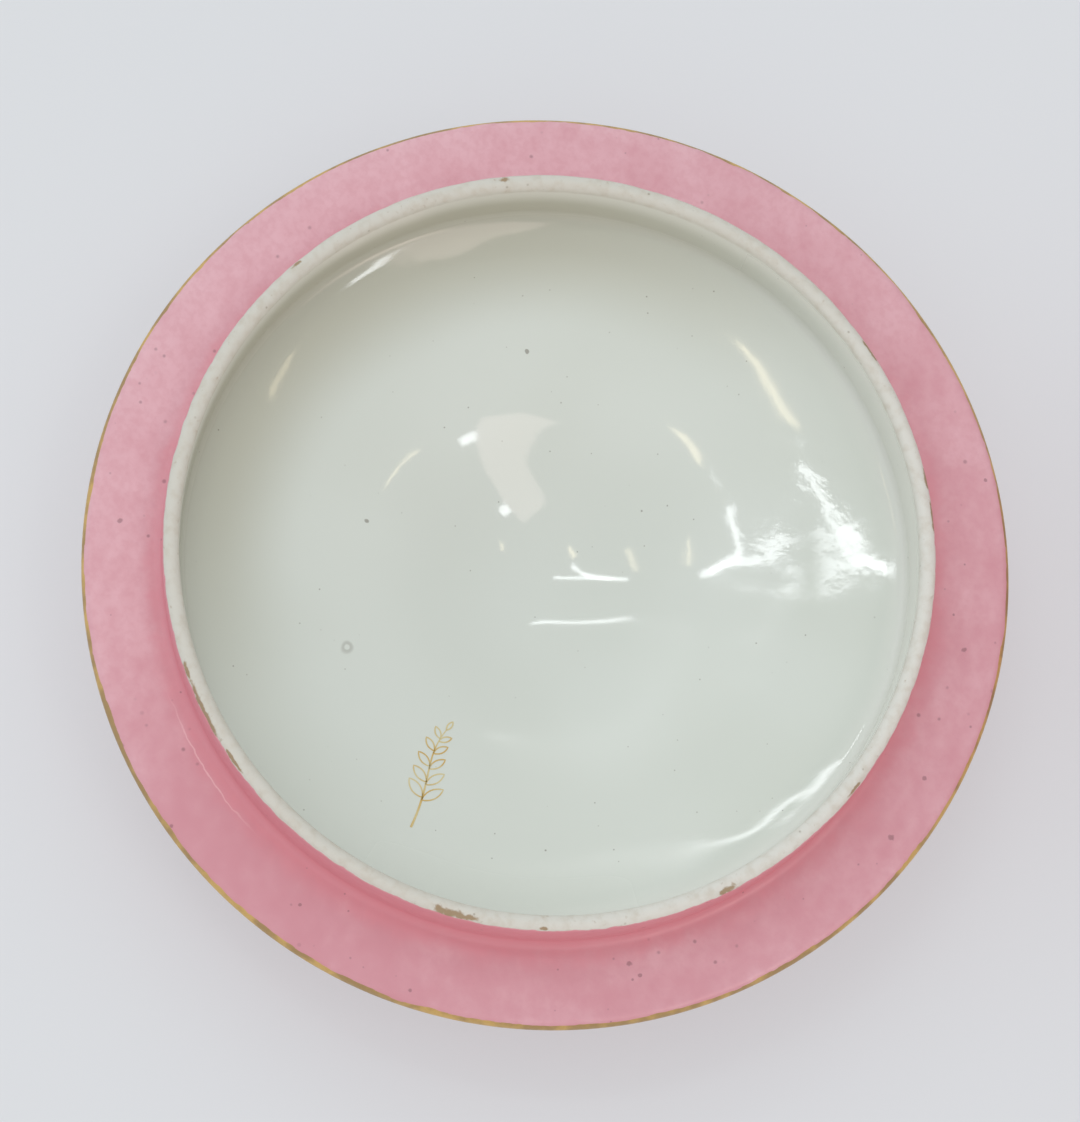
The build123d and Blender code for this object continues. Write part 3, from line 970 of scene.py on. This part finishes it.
mouth_foot = (JAR_MOUTH_RADIUS, JAR_HEIGHT - JAR_MOUTH_DEPTH)
neck_foot = (NECK_RADIUS, NECK_BAND[0] - NECK_BELOW_BAND)
lip_inside = (JAR_MOUTH_RADIUS + LIP_INNER_ROUNDING, JAR_HEIGHT - LIP_INNER_ROUNDING)
lip_outside = (NECK_RADIUS - LIP_OUTER_ROUNDING, JAR_HEIGHT - LIP_OUTER_ROUNDING)
jar_inside = joined(
    line((0, JAR_FLOOR[1]), JAR_FLOOR, 12),
    spline([JAR_FLOOR, JAR_INSIDE_BELLY, mouth_foot], (1, 0), (0, 1), 80),
    line(mouth_foot, (JAR_MOUTH_RADIUS, lip_inside[1]), 8),
)
jar_outline = joined(
    jar_inside,
    arc(lip_inside, LIP_INNER_ROUNDING, 180, 90, 8),
    line((lip_inside[0], JAR_HEIGHT), (lip_outside[0], JAR_HEIGHT), 4),
    arc(lip_outside, LIP_OUTER_ROUNDING, 90, 0, 10),
    line((NECK_RADIUS, lip_outside[1]), neck_foot, 10),
    spline([neck_foot, JAR_BELLY, (FOOT_RADIUS, FOOT_HEIGHT)], (0, -1), (-1, -0.45), 90),
)
jar_skin = turned(jar_outline, JAR_AXIS)
foot_inner = FOOT_RADIUS - FOOT_WIDTH
foot_outline = joined(
    line((FOOT_RADIUS, FOOT_HEIGHT), (FOOT_RADIUS, FOOT_ROUNDING), 8),
    arc((FOOT_RADIUS - FOOT_ROUNDING, FOOT_ROUNDING), FOOT_ROUNDING, 0, -90, 8),
    line((FOOT_RADIUS - FOOT_ROUNDING, 0), (foot_inner + FOOT_ROUNDING, 0), 4),
    arc((foot_inner + FOOT_ROUNDING, FOOT_ROUNDING), FOOT_ROUNDING, -90, -180, 8),
    line((foot_inner, FOOT_ROUNDING), (foot_inner, FOOT_HEIGHT), 6),
)
foot_skin = turned(foot_outline, JAR_AXIS, first_run=float(jar_skin[2][-1]))
under_outline = spline([(foot_inner, FOOT_HEIGHT), (0, FOOT_HEIGHT + JAR_KICK)], (-1, 0), (-1, 0), 30)
under_skin = turned(under_outline, JAR_AXIS, first_run=float(foot_skin[2][-1]))
mouth_run = float(jar_skin[2][len(jar_inside)])
foot_run = float(foot_skin[2][0])

# glazed inside and bare on the lip, then pink down to the foot, bare under it and glazed again
jar_porcelain = porcelain(
    "jar_porcelain",
    glaze_end=mouth_run - 0.6,
    pink_start=mouth_run + 4.2,
    pink_end=foot_run + 3.6,
    bare_end=foot_run + 7.0,
)
jar = solid("jar_body_porcelain", [
    jar_skin,
    under_skin,
    flat(jar_skin[0][-1], under_skin[0][0], -1, foot_run),
])
finish_piece(jar, "jar", "pink_enamel", jar_porcelain, "jar_body")
foot = solid("jar_foot_porcelain", [foot_skin, flat(foot_skin[0][-1], foot_skin[0][0], 1, foot_run)])
finish_piece(foot, "jar", "pink_enamel", jar_porcelain, "jar_foot_ring")


# ---- table, camera and light -------------------------------------------------------------------

TABLE_RADIUS = 2500.0
TABLE_SIDES = 64
table_mesh = bpy.data.meshes.new("table")
table_edge = [place(bearing, TABLE_RADIUS) for bearing in np.linspace(0, 360, TABLE_SIDES, endpoint=False)]
table_mesh.from_pydata([(x * MM, y * MM, 0) for x, y in table_edge], [], [list(range(TABLE_SIDES))])
table_mesh.materials.append(tabletop())
table = put_in_scene("table", table_mesh)

CAMERA_DISTANCE = 600.0
CAMERA_TILT = 13.64         # degrees from straight down
CAMERA_BEARING = 115.2      # of the camera from the lid, degrees from +X
CAMERA_ROLL = 20.35
CAMERA_LENS = 138.6         # millimetres, on Blender's default sensor
CAMERA_AIM = (0.25, -1.34)  # where it looks, from the lid's axis, along and across its bearing


def around_z(vector, degrees):
    """A vector turned about the upright."""
    return Matrix.Rotation(math.radians(degrees), 3, "Z") @ Vector(vector)


def make_camera():
    """The camera, almost straight above the lid and rolled a little."""
    tilt, roll = math.radians(CAMERA_TILT), math.radians(CAMERA_ROLL)
    back = Vector((math.sin(tilt), 0, math.cos(tilt)))
    across = Vector((0, 1, 0))
    upward = back.cross(across)
    right = math.cos(roll) * across + math.sin(roll) * upward
    up = math.cos(roll) * upward - math.sin(roll) * across
    turned_axes = [around_z(axis, CAMERA_BEARING) for axis in (right, up, back)]
    aim = Vector(LID_AXIS) + around_z((*CAMERA_AIM, 0), CAMERA_BEARING) + Vector((0, 0, FLANGE_HEIGHT))
    data = bpy.data.cameras.new("camera")
    data.lens = CAMERA_LENS
    data.clip_start, data.clip_end = 0.05, 20
    camera = put_in_scene("camera", data)
    rotation = Matrix(turned_axes).transposed().to_4x4()
    camera.matrix_world = Matrix.Translation((aim + turned_axes[2] * CAMERA_DISTANCE) * MM) @ rotation
    bpy.context.scene.camera = camera


def direction(bearing, elevation):
    """A unit vector towards a place in the room."""
    rise = math.radians(elevation)
    return Vector((*place(bearing, math.cos(rise)), math.sin(rise)))


LIGHT_DISTANCE = 1800.0     # of every lamp and opening from the lid


def strip_light(name, first, last, width, radiance, colour):
    """A long flat lamp between two directions, each (bearing, elevation). width is in degrees.

    It faces the lid.
    """
    start, end = direction(*first), direction(*last)
    middle = (start + end).normalized()
    along = (end - start).normalized()
    across = middle.cross(along).normalized()
    length = start.angle(end)
    data = bpy.data.lights.new(name, "AREA")
    data.shape = "RECTANGLE"
    data.size = length * LIGHT_DISTANCE * MM
    data.size_y = math.radians(width) * LIGHT_DISTANCE * MM
    data.energy = radiance * math.pi * data.size * data.size_y
    data.color = colour
    lamp = put_in_scene(name, data)
    axes = Matrix((along, across, along.cross(across))).transposed().to_4x4()
    centre = Vector(LID_AXIS) + Vector((0, 0, FLANGE_HEIGHT)) + middle * LIGHT_DISTANCE
    lamp.matrix_world = Matrix.Translation(centre * MM) @ axes
    lamp.visible_camera = False
    if (lamp.matrix_world.to_3x3() @ Vector((0, 0, -1))).dot(middle) > 0:
        lamp.matrix_world = lamp.matrix_world @ Matrix.Rotation(math.pi, 4, "X")
    return lamp


COOL = (0.93, 0.97, 1.0)
WARM = (1.0, 0.86, 0.55)
BEIGE = (1.0, 0.80, 0.74)


def make_lights():
    """The room's lamps, window and door, placed where the glaze mirrors them."""
    strip_light("tube_near", (312.8, 77.4), (357, 73.8), 1.1, 12, COOL)
    strip_light("tube_near_end", (357, 73.8), (11.6, 66.6), 1.1, 12, COOL)
    strip_light("tube_far", (297, 58.6), (352, 57.8), 0.8, 12, COOL)
    strip_light("window_upper", (353.5, 80.2), (356, 75.6), 1.2, 12, COOL)
    strip_light("window_lower", (356, 75.6), (8, 69), 1.3, 12, COOL)
    strip_light("warm_lamp_1", (32, 69.6), (19.5, 66.8), 0.55, 9, WARM)
    strip_light("warm_lamp_2", (25, 85.2), (5.5, 81.3), 0.85, 9, WARM)
    strip_light("warm_lamp_3", (239, 71), (229, 71.3), 0.5, 9, WARM)
    strip_light("lamp_by_door", (205, 71), (195, 72.7), 2.4, 11, COOL)
    strip_light("door", (178, 79), (178, 60), 10.4, 2.3, BEIGE)
    # the door's lower part only shows as a reflection, and the low fill only as light on the matt surfaces
    door_low = strip_light("door_low", (176, 60), (176, 38), 14, 5.5, BEIGE)
    door_low.visible_diffuse = False
    low_fill = strip_light("low_fill", (125, 13), (175, 13), 16, 2.6, BEIGE)
    low_fill.visible_glossy = False


ROOM_DIM = (0.46, 0.445, 0.44, 1)
ROOM_BRIGHT = (0.97, 1.02, 1.06, 1)
ROOM_BRIGHT_SIDE = (10, 60)     # bearing and elevation


def make_world():
    """A soft pale room, brighter and cooler towards the window."""
    world = bpy.data.worlds.new("room")
    bpy.context.scene.world = world
    world.use_nodes = True
    tree = world.node_tree
    background = tree.nodes["Background"]
    towards_room = tree.nodes.new("ShaderNodeTexCoord")
    dot = tree.nodes.new("ShaderNodeVectorMath")
    dot.operation = "DOT_PRODUCT"
    dot.inputs[1].default_value = direction(*ROOM_BRIGHT_SIDE)
    tree.links.new(towards_room.outputs["Generated"], dot.inputs[0])
    ease_node = tree.nodes.new("ShaderNodeMapRange")
    ease_node.interpolation_type = "SMOOTHSTEP"
    ease_node.inputs["From Min"].default_value = -0.1
    ease_node.inputs["From Max"].default_value = 1.0
    tree.links.new(dot.outputs["Value"], ease_node.inputs["Value"])
    mix = tree.nodes.new("ShaderNodeMix")
    mix.data_type = "RGBA"
    mix.inputs[6].default_value = ROOM_DIM
    mix.inputs[7].default_value = ROOM_BRIGHT
    tree.links.new(ease_node.outputs["Result"], mix.inputs[0])
    tree.links.new(mix.outputs[2], background.inputs["Color"])
    bpy.context.scene.view_settings.view_transform = "Standard"


make_camera()
make_lights()
make_world()
